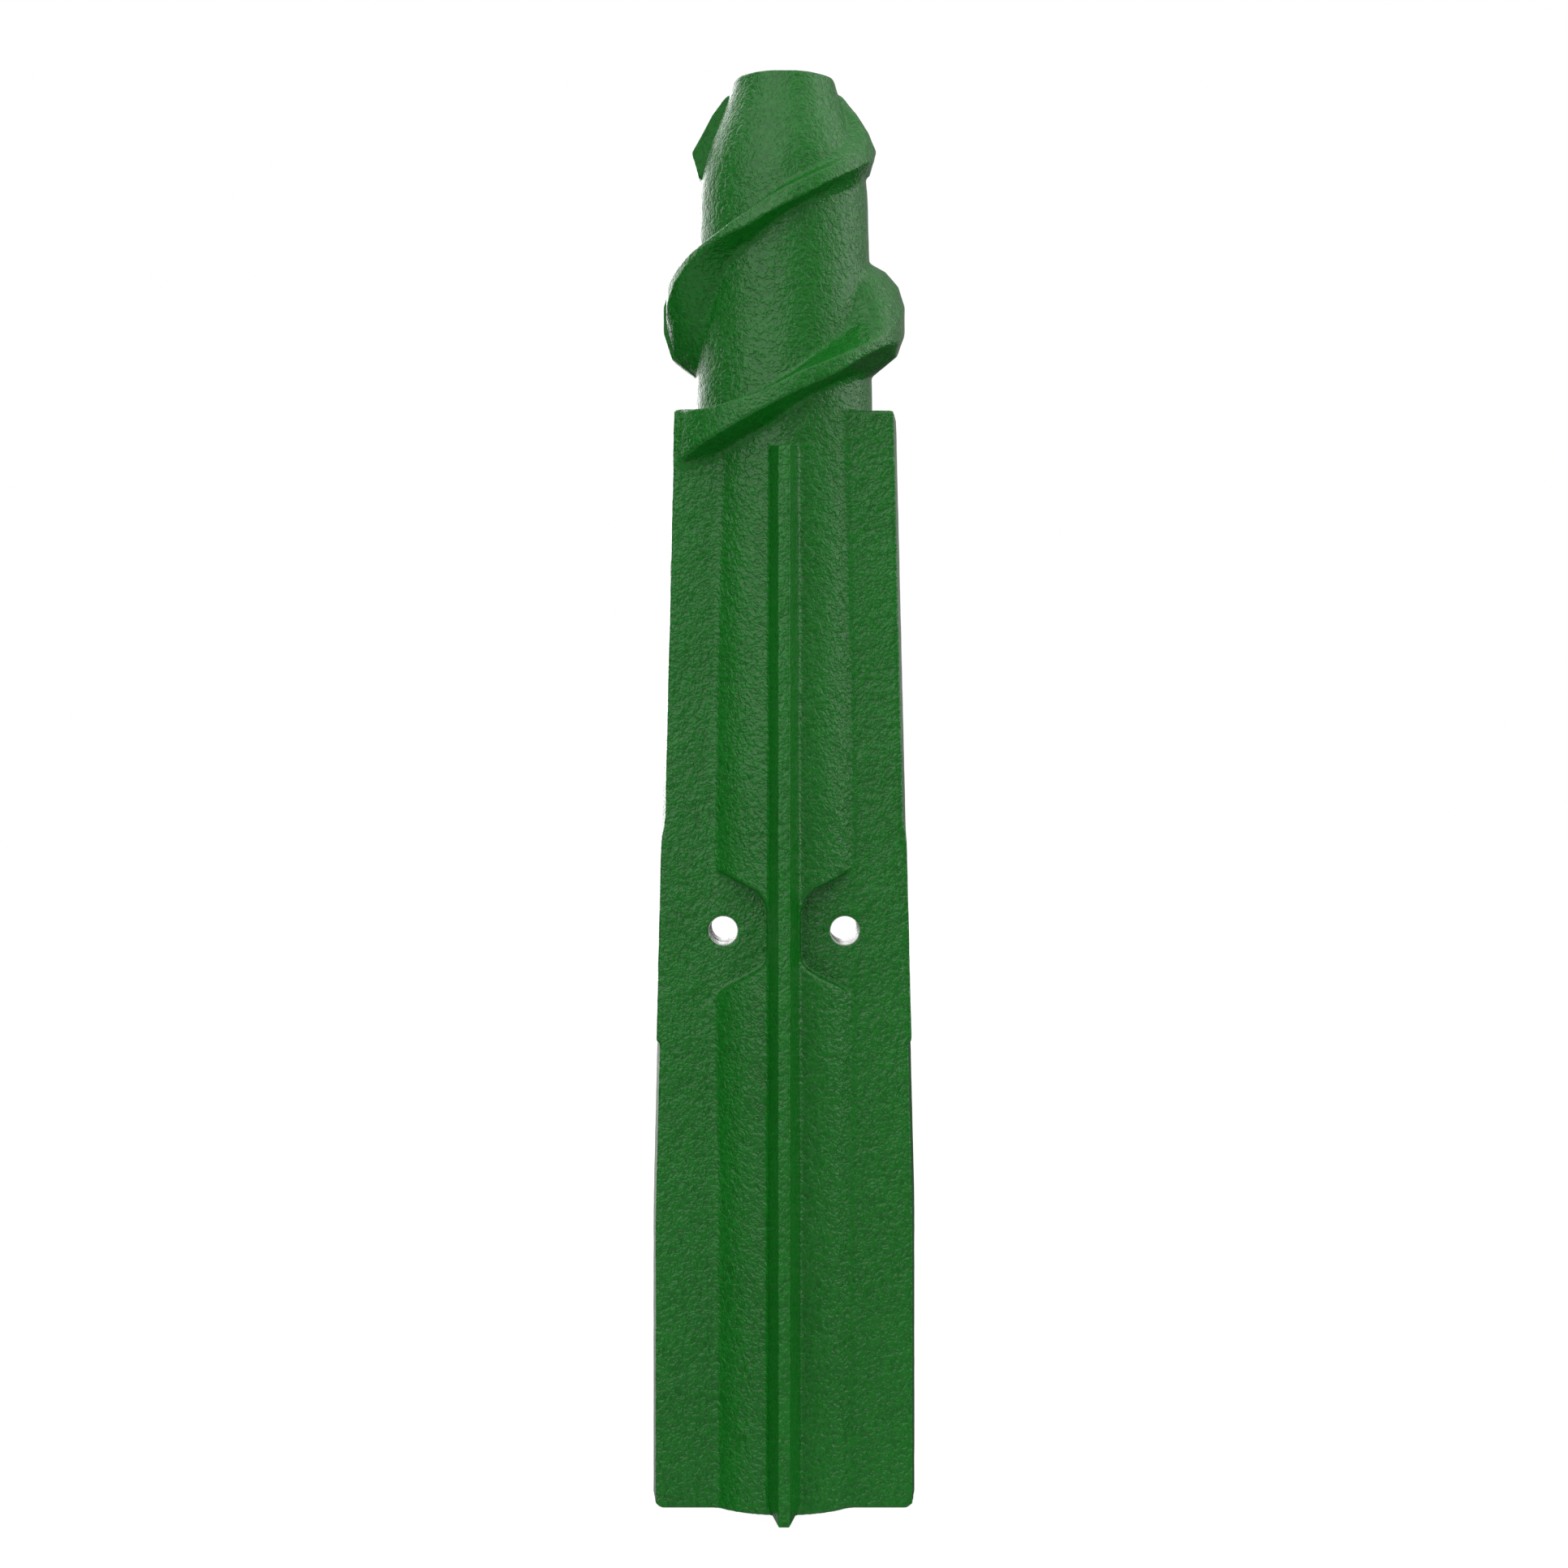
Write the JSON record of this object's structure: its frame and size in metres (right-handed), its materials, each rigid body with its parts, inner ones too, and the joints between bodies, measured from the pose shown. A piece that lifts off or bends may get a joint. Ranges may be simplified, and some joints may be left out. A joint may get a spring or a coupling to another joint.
{
  "type": "stalk roll",
  "caption": "Tapered cast stalk roll in two clamped halves: lengthwise blades, bolt seats beside a narrow rib, hexagonal shaft bore and a pointed nose with a spiral feed flight.",
  "frame": {"origin": "centre of the drive-end face, on the roll's axis and on the parting plane", "axes": "+Z along the roll's axis from the drive end to the nose; the halves part on y = 0, the front half on -Y; the bolts run along Y and the broad shoulders point to +X and -X"},
  "size_m": [0.1018, 0.1018, 0.552],
  "materials": {
    "painted_casting": "semi-gloss green paint over a rough sand-cast skin"
  },
  "bodies": {
    "front_half": {"roll_half_front": "painted_casting"},
    "rear_half": {"roll_half_rear": "painted_casting"}
  },
  "joints": [
    {"name": "rear_half_lift_off", "type": "slide", "parent": "front_half", "child": "rear_half", "axis": [0, 1, 0], "range_m": [0, 0.08]}
  ]
}
